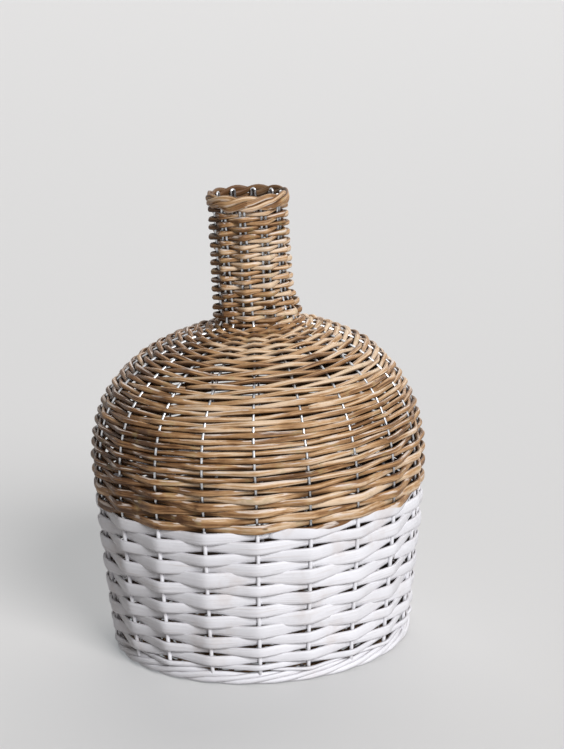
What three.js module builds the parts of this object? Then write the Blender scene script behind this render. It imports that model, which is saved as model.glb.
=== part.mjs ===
import * as THREE from "three";

// A demijohn-shaped wicker basket, standing upright on its foot with +Z up and the front towards -Y.
// Ten bent wires stand in a ring, both legs of each running from the foot up over the shoulder and up
// the neck, where the legs of a wire come together under the rim. Willow rods are woven in and out of
// the twenty legs round the body, and in and out of the ten pairs round the neck. The lower band is
// split willow, painted white; everything above it is natural brown willow. All lengths are in
// millimetres and all angles in degrees.

// Overall sizes, measured over the weave.
const height = 355;
const footDiameter = 236;
const bellyDiameter = 259;
const neckDiameter = 62;
const rimDiameter = 64;

// Heights of the places where the wall changes, from the floor.
const bellyHeight = 146;
const colourLineHeight = 118;
const shoulderRootHeight = 242.5;
const neckFilletHeight = 14;

// Shape of the wall between those places.
const shoulderRootRadius = 49;
const shoulderRootRise = 17;
const sideFlare = 4.3;
const sideLowerReach = 42;
const sideUpperReach = 45;
const shoulderLowerReach = 64;
const shoulderUpperReach = 46;
const neckFilletLowerReach = 8;
const neckFilletUpperReach = 12;

// A hand-made wall is not quite straight: its centre wanders sideways by these amounts, and the dome
// leans from this height on.
const footOffset = -3.5;
const shoulderOffset = 2.5;
const rimOffset = 1.6;
const shoulderLeanHeight = 185;

// Wires.
const wireCount = 10;
const wireDiameter = 1.9;
const pairGap = 1.1;
const gatheredAtNeckRoot = 0.2;
const firstPairAngle = -9.6;
const wireTopBelowRim = 3.5;

// Willow.
const stripThickness = 1.3;
const rodThickness = 3.2;
const neckRodThickness = 3;
const seat = 0.15;

// Rows of weaving in each band, and the rods pieced together in each weaver.
const whiteRows = 14;
const domeRows = 43;
const neckRows = 25;
const allRows = whiteRows + domeRows + neckRows;
const whiteRodsPerWeaver = 3;
const domeRodsPerWeaver = 9;
const neckRodsPerWeaver = 4;

// Lengths of wire left free below the middle of the first row and above the middle of the last one.
const firstRow = 1.6;
const lastRow = 1.2;

// Share of a row's pitch that a rod fills where it passes outside a wire, and where it passes inside.
const stripOutsideShare = 1.15;
const stripInsideShare = 0.8;
const rodOutsideShare = 1.08;
const rodInsideShare = 0.83;
const rowsFromStripToRod = 9;

// Rows are thin at the foot, where the rods start at their tips, and thick just above the white band.
const footRowThinning = -0.8;
const footRowThinningRows = 1.6;
const lowerDomeThickening = 0.75;
const lowerDomeThickeningRows = 4;

// Borders and base.
const footBorderThickness = 7.4;
const footBorderTwists = 20 / 3;
const footBorderSteps = 27;
const rimBorderHeight = 12;
const rimBorderThickness = 5.2;
const rimBorderTwists = 10 / 3;
const rimBorderSteps = 20;
const borderStrands = 3;
const borderStrandShare = 0.225;
const baseThickness = 4;
const baseChamfer = 1;
const floorGap = 0.3;
const pieceGap = 0.3;
const wireTuck = 17;
const footBorderToWall = 0.6;

// The ends of rods that follow on from each other lie this share of a span past the leg they tuck in at.
const tuckEnd = 0.08;
const tuckStart = 0.2;

const wireRadius = wireDiameter / 2;
const stakeCount = 2 * wireCount;
const stakeAngle = 360 / stakeCount;
const radians = THREE.MathUtils.degToRad;
const neckRootHeight = shoulderRootHeight + neckFilletHeight;

// Where the wires stand, inside the outer face of the weave.
const footWireRadius = footDiameter / 2 - wireRadius - seat - stripThickness;
const bellyWireRadius = bellyDiameter / 2 - wireRadius - seat - (stripThickness + rodThickness) / 2;
const neckPairHalf = (wireDiameter + pairGap) / 2;
const neckRodBend = 0.86;
const insidePairBend = 0.12;
const neckWireRadius =
  neckDiameter / 2 - neckRodThickness - wireRadius - seat - neckRodBend * neckPairHalf;
const footBorderCentre = footDiameter / 2 - footBorderThickness / 2;
const footBorderMiddle = floorGap + footBorderThickness / 2;
const wallStartHeight = footBorderMiddle + footBorderThickness / 2 + wireRadius + footBorderToWall;
const rimBorderCentre = (rimDiameter - rimBorderThickness) / 2;
const rimBorderMiddle = height - rimBorderHeight / 2;
const wallEndHeight = rimBorderMiddle - rimBorderHeight / 2 - pieceGap;

const point = (r, z) => new THREE.Vector2(r, z);

// The line of the wires, as a half section: the flared side, the shoulder, and the fillet into the neck.
function wallLine() {
  const foot = point(footWireRadius, wallStartHeight);
  const belly = point(bellyWireRadius, bellyHeight);
  const root = point(shoulderRootRadius, shoulderRootHeight);
  const neck = point(neckWireRadius, neckRootHeight);
  const flare = point(Math.sin(radians(sideFlare)), Math.cos(radians(sideFlare)));
  const rise = point(-Math.cos(radians(shoulderRootRise)), Math.sin(radians(shoulderRootRise)));
  const side = new THREE.CubicBezierCurve(
    foot,
    foot.clone().addScaledVector(flare, sideLowerReach),
    point(belly.x, belly.y - sideUpperReach),
    belly,
  );
  const shoulder = new THREE.CubicBezierCurve(
    belly,
    point(belly.x, belly.y + shoulderLowerReach),
    root.clone().addScaledVector(rise, -shoulderUpperReach),
    root,
  );
  const fillet = new THREE.CubicBezierCurve(
    root,
    root.clone().addScaledVector(rise, neckFilletLowerReach),
    point(neck.x, neck.y - neckFilletUpperReach),
    neck,
  );
  const points = side.getSpacedPoints(2);
  points.push(...shoulder.getSpacedPoints(7).slice(1));
  points.push(...fillet.getSpacedPoints(3).slice(1));
  points.push(point(neckWireRadius, wallEndHeight));
  return points;
}

const wall = wallLine();
const wallNormals = wall.map((p, i) => {
  const along = new THREE.Vector2();
  if (i > 0) along.add(p.clone().sub(wall[i - 1]).normalize());
  if (i < wall.length - 1) along.add(wall[i + 1].clone().sub(p).normalize());
  along.normalize();
  return point(along.y, -along.x);
});
const wallLengths = [0];
for (let i = 1; i < wall.length; i++) {
  wallLengths.push(wallLengths[i - 1] + wall[i].distanceTo(wall[i - 1]));
}

// The place on the wall line at a given length along it, with the outward direction there.
function onWall(length) {
  let i = 1;
  while (i < wall.length - 1 && wallLengths[i] < length) i++;
  const share = (length - wallLengths[i - 1]) / (wallLengths[i] - wallLengths[i - 1]);
  return {
    place: wall[i - 1].clone().lerp(wall[i], share),
    outward: wallNormals[i - 1].clone().lerp(wallNormals[i], share),
  };
}

// The length along the wall line at which it passes a given height.
function lengthAtHeight(z) {
  let i = 1;
  while (i < wall.length - 1 && wall[i].y < z) i++;
  const share = (z - wall[i - 1].y) / (wall[i].y - wall[i - 1].y);
  return THREE.MathUtils.lerp(wallLengths[i - 1], wallLengths[i], share);
}

const colourLine = lengthAtHeight(colourLineHeight);
const shoulderRoot = lengthAtHeight(shoulderRootHeight);
const neckRoot = lengthAtHeight(neckRootHeight);
const wallEnd = lengthAtHeight(wallEndHeight);

const bands = [
  { rows: whiteRows, from: firstRow, to: colourLine, extra: footRowThinning, over: footRowThinningRows },
  {
    rows: domeRows,
    from: colourLine,
    to: neckRoot,
    extra: lowerDomeThickening,
    over: lowerDomeThickeningRows,
  },
  { rows: neckRows, from: neckRoot, to: wallEnd - lastRow, extra: 0, over: 1 },
];

// The length along the wall line at which a row lies. Rows count up from the foot and need not be whole.
function rowPlace(row) {
  let start = 0;
  let band = bands[0];
  for (const next of bands) {
    band = next;
    if (row <= start + next.rows) break;
    if (next !== bands[bands.length - 1]) start += next.rows;
  }
  const eased = (rows) => (rows < 0 ? rows : band.over * (1 - Math.exp(-rows / band.over)));
  const filled = (rows) => rows + band.extra * eased(rows);
  return THREE.MathUtils.lerp(band.from, band.to, filled(row - start) / filled(band.rows));
}

// The room a row has, which is its distance to the nearer one of its neighbours.
function rowPitch(row) {
  return Math.min(rowPlace(row + 1) - rowPlace(row), rowPlace(row) - rowPlace(row - 1));
}

// The sideways wander of the centre line at a height.
function wander(z) {
  const low = THREE.MathUtils.smoothstep(z, 0, bellyHeight);
  const middle = THREE.MathUtils.smoothstep(z, shoulderLeanHeight, shoulderRootHeight);
  const top = THREE.MathUtils.smoothstep(z, shoulderRootHeight, height);
  return footOffset * (1 - low) + shoulderOffset * (middle - top) + rimOffset * top;
}

// The same wander in straight stretches between the corners of the wall line, so that rods and wires
// share it exactly.
const wanderHeights = [0, ...wall.map((p) => p.y), height];
function centreOffset(z) {
  let i = 1;
  while (i < wanderHeights.length - 1 && wanderHeights[i] < z) i++;
  const below = wanderHeights[i - 1];
  const above = wanderHeights[i];
  return THREE.MathUtils.lerp(wander(below), wander(above), (z - below) / (above - below));
}

// A point of the basket from its distance to the centre line, its angle from the front and its height.
function around(radius, angle, z) {
  const a = radians(angle);
  return new THREE.Vector3(radius * Math.sin(a) + centreOffset(z), -radius * Math.cos(a), z);
}

// Half the angle between the two legs of a wire. Legs stand evenly round the body. They begin to
// gather at the root of the shoulder and close up towards the rim.
function pairHalfAngle(length) {
  const beyondShoulder = THREE.MathUtils.clamp((length - shoulderRoot) / (neckRoot - shoulderRoot), 0, 1);
  const beyondNeckRoot = THREE.MathUtils.clamp((length - neckRoot) / (wallEnd - neckRoot), 0, 1);
  const gathered = THREE.MathUtils.lerp(gatheredAtNeckRoot * beyondShoulder, 1, beyondNeckRoot);
  const closed = THREE.MathUtils.radToDeg(Math.asin(neckPairHalf / neckWireRadius));
  return THREE.MathUtils.lerp(stakeAngle / 2, closed, gathered);
}

// The angle of a leg, counted from the first one, or of a pair's middle at a half count.
function legAngle(count, length) {
  const pair = Math.floor(count / 2);
  const side = Math.sign(count - 2 * pair - 0.5);
  return firstPairAngle + 2 * stakeAngle * pair + side * pairHalfAngle(length);
}

// A closed solid through a run of four-cornered sections.
function sweep(sections, closed = false) {
  const positions = sections.flat().flatMap((v) => [v.x, v.y, v.z]);
  const index = [];
  const steps = closed ? sections.length : sections.length - 1;
  for (let i = 0; i < steps; i++) {
    const a = 4 * i;
    const b = 4 * ((i + 1) % sections.length);
    for (let k = 0; k < 4; k++) {
      const n = (k + 1) % 4;
      index.push(a + k, a + n, b + n, a + k, b + n, b + k);
    }
  }
  if (!closed) {
    const e = positions.length / 3 - 4;
    index.push(2, 1, 0, 3, 2, 0, e, e + 1, e + 2, e, e + 2, e + 3);
  }
  const geometry = new THREE.BufferGeometry();
  geometry.setAttribute("position", new THREE.Float32BufferAttribute(positions, 3));
  geometry.setIndex(index);
  geometry.computeVertexNormals();
  return geometry;
}

// The section of a rod at a place on the wall: a flat strip in the white band and a round rod, drawn
// with four corners, above it.
function rodSection(angle, row, offset, share, thickness, roundness) {
  const { place, outward } = onWall(rowPlace(row));
  const upward = point(-outward.y, outward.x);
  const t = thickness / 2;
  const h = (share * rowPitch(row)) / 2;
  const corner = (out, up) => {
    const p = place
      .clone()
      .addScaledVector(outward, offset + out)
      .addScaledVector(upward, up);
    return around(p.x, angle, p.y);
  };
  const flat = 1 - roundness;
  return [
    corner(t * flat, h),
    corner(t, -h * flat),
    corner(-t * flat, -h),
    corner(-t, h * flat),
  ];
}

// How far a row has changed from flat strip to round rod.
function rodRoundness(row) {
  return THREE.MathUtils.smoothstep(row, whiteRows - 1, whiteRows + rowsFromStripToRod);
}

// The section of a body rod where it passes the leg of this count, outside it or inside it.
function bodySection(count, row, outside) {
  const roundness = rodRoundness(row);
  const thickness = THREE.MathUtils.lerp(stripThickness, rodThickness, roundness);
  const offset = wireRadius + seat + thickness / 2;
  const outsideShare = THREE.MathUtils.lerp(stripOutsideShare, rodOutsideShare, roundness);
  const insideShare = THREE.MathUtils.lerp(stripInsideShare, rodInsideShare, roundness);
  return rodSection(
    legAngle(count, rowPlace(row)),
    row,
    outside ? offset : -offset,
    outside ? outsideShare : insideShare,
    thickness,
    roundness,
  );
}

// The section of a neck rod where it passes a pair of legs. It stands off by what the bend of the rod
// over two wires side by side needs.
function neckSection(pairMiddle, row, outside) {
  const length = rowPlace(row);
  const halfAngle = radians(pairHalfAngle(length));
  const radius = onWall(length).place.x;
  const half = radius * Math.sin(halfAngle);
  const sag = radius * (1 - Math.cos(halfAngle));
  const stand = wireRadius + seat;
  const insideStand = stand + sag + insidePairBend * half;
  const tip = radius - insideStand - neckRodThickness;
  const pairAngle = radians(2 * stakeAngle);
  const bend = (radius + stand - tip * Math.cos(pairAngle)) / (tip * Math.sin(pairAngle) - half);
  const standOff = outside ? stand + bend * half : -insideStand;
  const offset = standOff + Math.sign(standOff) * (neckRodThickness / 2);
  return rodSection(
    firstPairAngle + 2 * stakeAngle * ((pairMiddle - 0.5) / 2),
    row,
    offset,
    outside ? rodOutsideShare : rodInsideShare,
    neckRodThickness,
    1,
  );
}

// A share of the way between two sections.
function between(a, b, share) {
  return a.map((corner, k) => corner.clone().lerp(b[k], share));
}

// One rod of a weaver. Its ends are tucked in just past a leg that it passes on the inside.
function rod(sectionAt, start, end, step) {
  const sections = [between(sectionAt(start), sectionAt(start + step), tuckStart)];
  for (let count = start + step; count <= end; count += step) sections.push(sectionAt(count));
  sections.push(between(sectionAt(end), sectionAt(end + step), tuckEnd));
  return sweep(sections);
}

// Where the rods of a weaver are pieced, each at a leg or pair passed on the inside.
function piecing(start, end, rods, every) {
  const joints = [];
  for (let i = 0; i <= rods; i++) {
    joints.push(start + every * Math.round(((end - start) * i) / rods / every));
  }
  return joints;
}

const basket = new THREE.Group();

function addMesh(name, geometry, color, roughness, metalness = 0) {
  const material = new THREE.MeshStandardMaterial({ color, roughness, metalness, flatShading: true });
  const mesh = new THREE.Mesh(geometry, material);
  mesh.name = name;
  basket.add(mesh);
}

const paintedWhite = "#e8e6e3";
const naturalBase = "#9c7248";
const willowBrowns = ["#a97f50", "#9a6f43", "#b68b5a", "#8f6a42"];

// Two weavers chase each other up the basket, half a turn apart: each climbs two rows in a turn, and
// where one passes outside a leg the other passes inside. Legs are counted from the first pair on,
// turn after turn, and a pair's middle lies half way between its two counts.
const weavers = [
  { name: "a", lead: 0, insideLeg: 1, lastLeg: 3 },
  { name: "b", lead: stakeCount / 2, insideLeg: 0, lastLeg: 0 },
];
for (const { name, lead, insideLeg, lastLeg } of weavers) {
  const rowOf = (count) => (2 * (count - lead)) / stakeCount;
  const countNear = (row, every, rest) => {
    const count = lead + (row * stakeCount) / 2;
    return every * Math.round((count - rest) / every) + rest;
  };
  const bodyAt = (count) => bodySection(count, rowOf(count), Math.abs(count % 2) !== insideLeg);

  const start = countNear(0, 2, insideLeg);
  const colourChange = countNear(whiteRows, 2, insideLeg);
  const neckStart = countNear(whiteRows + domeRows, 4, lastLeg);
  const whiteJoints = piecing(start, colourChange, whiteRodsPerWeaver, 2);
  for (let i = 0; i < whiteRodsPerWeaver; i++) {
    const geometry = rod(bodyAt, whiteJoints[i], whiteJoints[i + 1], 1);
    addMesh(`white_strip_${name}${i + 1}`, geometry, paintedWhite, 0.6);
  }
  const domeJoints = piecing(colourChange, neckStart, domeRodsPerWeaver, 2);
  for (let i = 0; i < domeRodsPerWeaver; i++) {
    const geometry = rod(bodyAt, domeJoints[i], domeJoints[i + 1], 1);
    addMesh(`dome_rod_${name}${i + 1}`, geometry, willowBrowns[(i + insideLeg) % 4], 0.55);
  }

  // Round the neck the rods pass pairs. The first one goes on from the last leg passed inside.
  const firstPair = 2 * Math.floor(neckStart / 2) + 0.5;
  const neckAt = (count) => {
    if (count === firstPair) return insideLeg ? bodyAt(neckStart) : neckSection(count, rowOf(count), false);
    return neckSection(count, rowOf(count), ((count - firstPair) / 2) % 2 !== 0);
  };
  const lastPair = firstPair + 4 * Math.floor((countNear(allRows, 2, insideLeg) - firstPair) / 4);
  const neckJoints = piecing(firstPair, lastPair, neckRodsPerWeaver, 4);
  for (let i = 0; i < neckRodsPerWeaver; i++) {
    const geometry = rod(neckAt, neckJoints[i], neckJoints[i + 1], 2);
    addMesh(`neck_rod_${name}${i + 1}`, geometry, willowBrowns[(i + 2 * insideLeg) % 4], 0.55);
  }
}

// One leg of a wire as places in the half section, from its end on the base up to the neck.
function legPlaces() {
  const end = point(footWireRadius - wireTuck, baseThickness + pieceGap + wireRadius);
  const turn = point(footWireRadius - 0.5 * wireTuck, baseThickness + 2 * pieceGap + wireRadius);
  const over = point(
    footBorderCentre - 0.34 * footBorderThickness,
    footBorderMiddle + 0.5 * footBorderThickness + wireRadius - 0.1,
  );
  return [end, turn, over, ...wall];
}

// The level direction along the wall, anticlockwise seen from above, at a point of the basket.
function tangentAt(p) {
  return new THREE.Vector3(-p.y, p.x - centreOffset(p.z), 0).normalize();
}

// A wire bent like a hairpin, with a half circle at the top between its two legs.
function hairpin(pair) {
  const places = legPlaces();
  const free = places.length - wall.length;
  const bendHeight = height - wireTopBelowRim - wireRadius - neckPairHalf;
  const leg = (count) => {
    const points = places.map((p, i) => {
      const length = i < free ? 0 : wallLengths[i - free];
      return around(p.x, legAngle(count, length), p.y);
    });
    points.push(around(neckWireRadius, legAngle(count, wallEnd), bendHeight));
    return points;
  };
  const left = leg(2 * pair);
  const right = leg(2 * pair + 1).reverse();
  const top = left[left.length - 1].clone().lerp(right[0], 0.5);
  const toTheRight = right[0].clone().sub(top);
  const topOutward = new THREE.Vector3(top.x - centreOffset(top.z), top.y, 0).normalize();
  const bend = [0.25, 0.5, 0.75].map((share) => {
    const a = Math.PI * share;
    return top
      .clone()
      .addScaledVector(toTheRight, -Math.cos(a))
      .add(new THREE.Vector3(0, 0, toTheRight.length() * Math.sin(a)));
  });
  const path = [...left, ...bend, ...right];
  const sections = path.map((p, i) => {
    const along = path[Math.min(i + 1, path.length - 1)].clone().sub(path[Math.max(i - 1, 0)]).normalize();
    const goesUp = i < left.length;
    const goesDown = i >= left.length + bend.length;
    const level = tangentAt(p).multiplyScalar(goesUp ? 1 : -1);
    const outward = goesUp || goesDown ? level.cross(along).normalize() : topOutward.clone();
    const beside = along.clone().cross(outward).normalize();
    return [
      p.clone().addScaledVector(outward, wireRadius),
      p.clone().addScaledVector(beside, wireRadius),
      p.clone().addScaledVector(outward, -wireRadius),
      p.clone().addScaledVector(beside, -wireRadius),
    ];
  });
  return sweep(sections);
}

for (let pair = 0; pair < wireCount; pair++) {
  addMesh(`stake_wire_${pair + 1}`, hairpin(pair), "#c4c7ca", 0.35, 1);
}

// A border laid like a rope: three strands wind round a ring. The twists make the strands follow on
// from each other, so that they are one rod that goes round three times.
function ropeBorder({ radius, middle, across, tall, twists, steps }) {
  const strandAcross = across * borderStrandShare;
  const strandTall = tall * borderStrandShare;
  const windAcross = across / 2 - strandAcross;
  const windTall = tall / 2 - strandTall;
  const count = steps * borderStrands;
  const sections = [];
  for (let i = 0; i < count; i++) {
    const angle = (360 * i) / steps;
    const wind = radians(twists * angle);
    const r = radius + windAcross * Math.cos(wind);
    const z = middle + windTall * Math.sin(wind);
    const corner = (out, up) => around(r + out, angle, z + up);
    sections.push([
      corner(strandAcross, 0),
      corner(0, -strandTall),
      corner(-strandAcross, 0),
      corner(0, strandTall),
    ]);
  }
  return sweep(sections, true);
}

const footBorder = ropeBorder({
  radius: footBorderCentre,
  middle: footBorderMiddle,
  across: footBorderThickness,
  tall: footBorderThickness,
  twists: footBorderTwists,
  steps: footBorderSteps,
});
addMesh("foot_border", footBorder, paintedWhite, 0.6);

const rimBorder = ropeBorder({
  radius: rimBorderCentre,
  middle: rimBorderMiddle,
  across: rimBorderThickness,
  tall: rimBorderHeight,
  twists: rimBorderTwists,
  steps: rimBorderSteps,
});
addMesh("rim_border", rimBorder, "#b08652", 0.55);

// The base is woven flat and fills the ring of the foot border.
const baseRadius = footBorderCentre - footBorderThickness / 2 - pieceGap;
const baseProfile = [
  point(0, 0),
  point(baseRadius - baseChamfer, 0),
  point(baseRadius, baseChamfer),
  point(baseRadius, baseThickness - baseChamfer),
  point(baseRadius - baseChamfer, baseThickness),
  point(0, baseThickness),
];
const base = new THREE.LatheGeometry(baseProfile, 32);
base.rotateX(Math.PI / 2);
base.translate(footOffset, 0, 0);
addMesh("woven_base", base, naturalBase, 0.6);

export default basket;
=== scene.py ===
import math

import bpy
import numpy as np
from mathutils import Matrix, Vector


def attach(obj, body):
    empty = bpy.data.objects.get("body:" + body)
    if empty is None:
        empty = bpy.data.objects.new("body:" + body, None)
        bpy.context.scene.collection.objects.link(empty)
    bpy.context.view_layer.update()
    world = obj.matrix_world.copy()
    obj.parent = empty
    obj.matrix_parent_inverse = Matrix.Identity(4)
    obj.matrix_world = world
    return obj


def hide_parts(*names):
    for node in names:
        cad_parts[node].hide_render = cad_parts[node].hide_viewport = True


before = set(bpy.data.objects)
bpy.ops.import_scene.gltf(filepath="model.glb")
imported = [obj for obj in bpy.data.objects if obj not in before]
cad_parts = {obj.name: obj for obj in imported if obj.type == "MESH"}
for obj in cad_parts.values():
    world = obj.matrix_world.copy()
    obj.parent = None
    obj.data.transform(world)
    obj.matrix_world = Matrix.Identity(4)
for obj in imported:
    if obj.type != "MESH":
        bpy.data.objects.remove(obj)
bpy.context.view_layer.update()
print("frame loaded:", len(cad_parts), "solids")

# The camera comes first, where the photograph was taken from.
shot = {
    "lookAt": (0.0215, 0.0, 0.2083),
    "distance": 1.541,
    "pitch": 13.86,
    "roll": 2.66,
    "lens": 95.6,
    "sensor": 36.0,
    "near": 0.05,
    "far": 60,
}


def addObject(name, data):
    made = bpy.data.objects.new(name, data)
    bpy.context.scene.collection.objects.link(made)
    return made


def makeCamera():
    data = bpy.data.cameras.new("camera")
    data.lens = shot["lens"]
    data.sensor_width = shot["sensor"]
    data.clip_start = shot["near"]
    data.clip_end = shot["far"]
    camera = addObject("camera", data)
    pitch = math.radians(shot["pitch"])
    back = Vector((0, -math.cos(pitch), math.sin(pitch)))
    camera.location = Vector(shot["lookAt"]) + back * shot["distance"]
    level = (-back).to_track_quat("-Z", "Y").to_matrix().to_4x4()
    roll = Matrix.Rotation(math.radians(-shot["roll"]), 4, "Z")
    camera.rotation_euler = (level @ roll).to_euler()
    bpy.context.scene.camera = camera


makeCamera()
print("camera in place")

# Sizes of the basket, in millimetres and degrees, as in the solid model.
basket = {
    "height": 355,
    "footDiameter": 236,
    "bellyDiameter": 259,
    "neckDiameter": 62,
    "rimDiameter": 64,
    "bellyHeight": 146,
    "colourLineHeight": 118,
    "shoulderRootHeight": 242.5,
    "neckFilletHeight": 14,
    "shoulderRootRadius": 49,
    "shoulderRootRise": 17,
    "sideFlare": 4.3,
    "sideReach": (42, 45),
    "shoulderReach": (64, 46),
    "neckFilletReach": (8, 12),
    "footOffset": -3.5,
    "shoulderOffset": 2.5,
    "rimOffset": 1.6,
    "shoulderLeanHeight": 185,
    "wireCount": 10,
    "wireDiameter": 1.9,
    "pairGap": 1.1,
    "gatheredAtNeckRoot": 0.2,
    "firstPairAngle": -9.6,
    "wireTopBelowRim": 3.5,
    "stripThickness": 1.3,
    "rodThickness": 3.2,
    "neckRodThickness": 3,
    "seat": 0.15,
    "firstRow": 1.6,
    "lastRow": 1.2,
    "neckRodBend": 0.86,
    "insidePairBend": 0.12,
    "footBorderThickness": 7.4,
    "footBorderToWall": 0.6,
    "rimBorderHeight": 12,
    "rimBorderThickness": 5.2,
    "baseThickness": 4,
    "floorGap": 0.3,
    "pieceGap": 0.3,
    "wireTuck": 17,
}
millimetre = 0.001

# The rows of each band, its rods, and how much thicker rows are at its start, and over how many. Shares
# say how much of a row's height a rod takes: by a leg as flat strip and as round rod, and outside and
# inside a neck pair.
weave = {
    "rows": (14, 43, 25),
    "rodsPerWeaver": (3, 9, 4),
    "thickening": ((-0.8, 1.6), (0.75, 4), (0, 1)),
    "outsideShares": (1.28, 0.98),
    "insideShares": (0.83, 0.84),
    "neckShares": (1.36, 0.72),
    "rowsFromStripToRod": 9,
    "tuckStart": 0.2,
    "tuckEnd": 0.2,
}

wireRadius = basket["wireDiameter"] / 2
stakeCount = 2 * basket["wireCount"]
stakeAngle = 360 / stakeCount
whiteRows, domeRows, neckRows = weave["rows"]
neckRootHeight = basket["shoulderRootHeight"] + basket["neckFilletHeight"]
footWireRadius = basket["footDiameter"] / 2 - wireRadius - basket["seat"] - basket["stripThickness"]
bellyThickness = (basket["stripThickness"] + basket["rodThickness"]) / 2
bellyWireRadius = basket["bellyDiameter"] / 2 - wireRadius - basket["seat"] - bellyThickness
neckPairHalf = (basket["wireDiameter"] + basket["pairGap"]) / 2
neckWireRadius = (
    basket["neckDiameter"] / 2
    - basket["neckRodThickness"]
    - wireRadius
    - basket["seat"]
    - basket["neckRodBend"] * neckPairHalf
)
footBorderHalf = basket["footBorderThickness"] / 2
footBorderCentre = basket["footDiameter"] / 2 - footBorderHalf
footBorderMiddle = basket["floorGap"] + footBorderHalf
wallStartHeight = footBorderMiddle + footBorderHalf + wireRadius + basket["footBorderToWall"]
rimBorderCentre = (basket["rimDiameter"] - basket["rimBorderThickness"]) / 2
rimBorderMiddle = basket["height"] - basket["rimBorderHeight"] / 2
wallEndHeight = rimBorderMiddle - basket["rimBorderHeight"] / 2 - basket["pieceGap"]

# The steps in each curve of the wall: the side, the shoulder and the neck's fillet.
curveCuts = (24, 60, 20)


def bezier(corners, count):
    a, b, c, d = [np.array(p, float) for p in corners]
    t = np.linspace(0, 1, count + 1)[:, None]
    return a * (1 - t) ** 3 + 3 * b * t * (1 - t) ** 2 + 3 * c * t * t * (1 - t) + d * t**3


# The line of the wires as a half section: radius and height of points along it.
def wallLine():
    foot = np.array((footWireRadius, wallStartHeight))
    belly = np.array((bellyWireRadius, basket["bellyHeight"]))
    root = np.array((basket["shoulderRootRadius"], basket["shoulderRootHeight"]))
    neck = np.array((neckWireRadius, neckRootHeight))
    flareAngle = math.radians(basket["sideFlare"])
    riseAngle = math.radians(basket["shoulderRootRise"])
    flare = np.array((math.sin(flareAngle), math.cos(flareAngle)))
    rise = np.array((-math.cos(riseAngle), math.sin(riseAngle)))
    up = np.array((0, 1))
    low, high = basket["sideReach"]
    side = bezier((foot, foot + flare * low, belly - up * high, belly), curveCuts[0])
    low, high = basket["shoulderReach"]
    shoulder = bezier((belly, belly + up * low, root - rise * high, root), curveCuts[1])
    low, high = basket["neckFilletReach"]
    fillet = bezier((root, root + rise * low, neck - up * high, neck), curveCuts[2])
    end = np.array([(neckWireRadius, wallEndHeight)])
    return np.vstack((side, shoulder[1:], fillet[1:], end))


wall = wallLine()
wallSteps = np.linalg.norm(np.diff(wall, axis=0), axis=1)
wallLengths = np.concatenate(((0,), np.cumsum(wallSteps)))
stepTangents = np.diff(wall, axis=0) / wallSteps[:, None]
innerTangents = (stepTangents[1:] + stepTangents[:-1]) / 2
wallTangents = np.vstack((stepTangents[:1], innerTangents, stepTangents[-1:]))
wallTangents /= np.linalg.norm(wallTangents, axis=1)[:, None]


# Radius and height at a length along the wall, and the outward direction's two parts there.
def onWall(length):
    r, z = [np.interp(length, wallLengths, wall[:, k]) for k in (0, 1)]
    tr, tz = [np.interp(length, wallLengths, wallTangents[:, k]) for k in (0, 1)]
    return r, z, tz, -tr


def lengthAtHeight(z):
    return np.interp(z, wall[:, 1], wallLengths)


colourLine = lengthAtHeight(basket["colourLineHeight"])
shoulderRoot = lengthAtHeight(basket["shoulderRootHeight"])
neckRoot = lengthAtHeight(neckRootHeight)
wallEnd = wallLengths[-1]
bandEnds = (basket["firstRow"], colourLine, neckRoot, wallEnd - basket["lastRow"])


# The length along the wall at which a row lies. Rows count up from the foot.
def rowPlace(row):
    row = np.asarray(row, float)
    place = np.zeros_like(row)
    start = 0
    for k, rows in enumerate(weave["rows"]):
        extra, over = weave["thickening"][k]
        here = (row > start) if k else np.ones_like(row, bool)
        inBand = row - start
        eased = np.where(inBand < 0, inBand, over * (1 - np.exp(-np.maximum(inBand, 0) / over)))
        filled = inBand + extra * eased
        whole = rows + extra * over * (1 - math.exp(-rows / over))
        place = np.where(here, bandEnds[k] + (bandEnds[k + 1] - bandEnds[k]) * filled / whole, place)
        start += rows
    return place


def rowPitch(row):
    return np.minimum(rowPlace(row + 1) - rowPlace(row), rowPlace(row) - rowPlace(row - 1))


def smoothstep(x, low, high):
    t = np.clip((np.asarray(x, float) - low) / (high - low), 0, 1)
    return t * t * (3 - 2 * t)


def centreOffset(z):
    low = smoothstep(z, 0, basket["bellyHeight"])
    middle = smoothstep(z, basket["shoulderLeanHeight"], basket["shoulderRootHeight"])
    top = smoothstep(z, basket["shoulderRootHeight"], basket["height"])
    foot, shoulder, rim = basket["footOffset"], basket["shoulderOffset"], basket["rimOffset"]
    return foot * (1 - low) + shoulder * (middle - top) + rim * top


# The root of the neck swells out on one side. The shoulder stands a little high round it, by the first
# value, and on that side by the second one more. Heights are where each starts, is most and ends.
handShape = {
    "side": (0.1, 0.9),
    "swelling": 5.5,
    "swellingHeights": (236, 255, 281),
    "highShoulder": (1.6, 1.6),
    "highShoulderHeights": (212, 243, 262),
}


def hump(z, heights):
    start, middle, end = heights
    return smoothstep(z, start, middle) * (1 - smoothstep(z, middle, end))


def handShaped(radius, a, z):
    oneSide = smoothstep(np.sin(a), *handShape["side"])
    allRound, more = handShape["highShoulder"]
    swelling = handShape["swelling"] * hump(z, handShape["swellingHeights"]) * oneSide
    lift = hump(z, handShape["highShoulderHeights"]) * (allRound + more * oneSide)
    return radius + swelling, z + lift


# Points in millimetres, from a distance to the centre line, an angle from the front and a height.
def around(radius, angle, z):
    a = np.radians(angle)
    radius, z = handShaped(radius, a, z)
    x = radius * np.sin(a) + centreOffset(z)
    return np.stack(np.broadcast_arrays(x, -radius * np.cos(a), z), axis=-1)


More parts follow.
